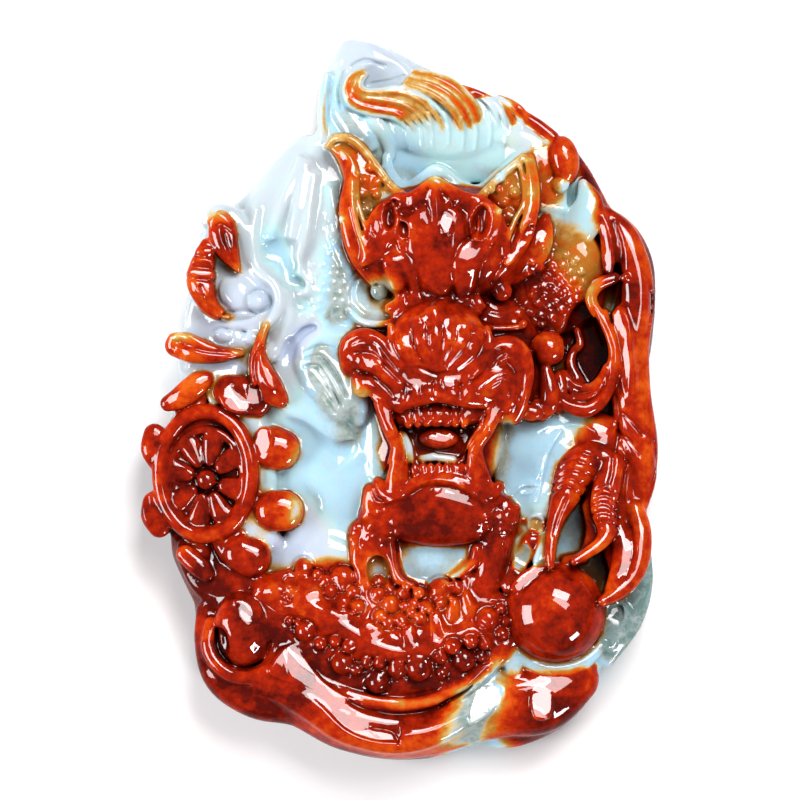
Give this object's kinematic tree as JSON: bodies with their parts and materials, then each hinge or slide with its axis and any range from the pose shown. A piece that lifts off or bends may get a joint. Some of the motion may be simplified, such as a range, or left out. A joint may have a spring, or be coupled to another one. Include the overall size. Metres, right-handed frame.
{
  "type": "carved jade pendant",
  "caption": "Flat-backed oval pendant carved in relief with a dragon's head under a lotus, a wheel in a claw, a hand on a pearl and a beaded body over waves, drilled across its peak for a cord.",
  "frame": {"origin": "bottom of the pendant as it lies on its flat back, under the middle of its outline", "axes": "+Y towards the tip of the peak, +X towards the hand and the pearl, +Z out of the carved face"},
  "size_m": [0.0466, 0.0648, 0.0148],
  "materials": {
    "jade": "polished"
  },
  "bodies": {
    "root": {"carved_jade": "jade"}
  },
  "joints": []
}
